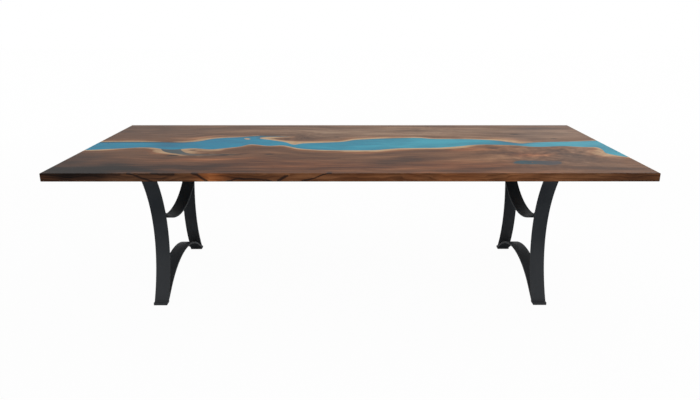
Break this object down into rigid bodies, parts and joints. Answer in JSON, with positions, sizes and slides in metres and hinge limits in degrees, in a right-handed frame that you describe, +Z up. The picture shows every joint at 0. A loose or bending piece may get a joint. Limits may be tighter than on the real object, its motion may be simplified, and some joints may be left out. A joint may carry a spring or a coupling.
{
  "type": "river dining table",
  "caption": "Live-edge walnut dining table with a river of blue resin between its slabs, on two black trestles welded from curved flat bar.",
  "frame": {"origin": "on the floor under the centre of the top", "axes": "+X along the table to the right end seen from the front, +Y to the back edge, +Z up"},
  "size_m": [2.74, 1.05, 0.75],
  "materials": {
    "walnut": "satin oil",
    "sapwood": "satin oil",
    "river_resin": "satin, pearl pigment",
    "pocket_resin": "satin, pearl pigment",
    "black_powder_coat": "fine satin powder coat",
    "black_zinc": "black zinc",
    "zinc_steel": "bright zinc",
    "black_rubber": "matte"
  },
  "bodies": {
    "root": {"front_slab": "walnut", "back_slab": "walnut", "river_resin": "river_resin", "left_pocket_resin": "pocket_resin", "right_void_resin": "river_resin", "river_wood_island": "sapwood", "left_front_leg": "black_powder_coat", "left_front_foot_plate": "black_powder_coat", "left_front_glide": "black_rubber", "left_back_leg": "black_powder_coat", "left_back_foot_plate": "black_powder_coat", "left_back_glide": "black_rubber", "left_upper_bow": "black_powder_coat", "left_lower_arch": "black_powder_coat", "left_mounting_plate": "black_powder_coat", "left_weld_beads": "black_powder_coat", "left_mount_bolts": "black_zinc", "left_mount_inserts": "zinc_steel", "right_front_leg": "black_powder_coat", "right_front_foot_plate": "black_powder_coat", "right_front_glide": "black_rubber", "right_back_leg": "black_powder_coat", "right_back_foot_plate": "black_powder_coat", "right_back_glide": "black_rubber", "right_upper_bow": "black_powder_coat", "right_lower_arch": "black_powder_coat", "right_mounting_plate": "black_powder_coat", "right_weld_beads": "black_powder_coat", "right_mount_bolts": "black_zinc", "right_mount_inserts": "zinc_steel"}
  },
  "joints": []
}
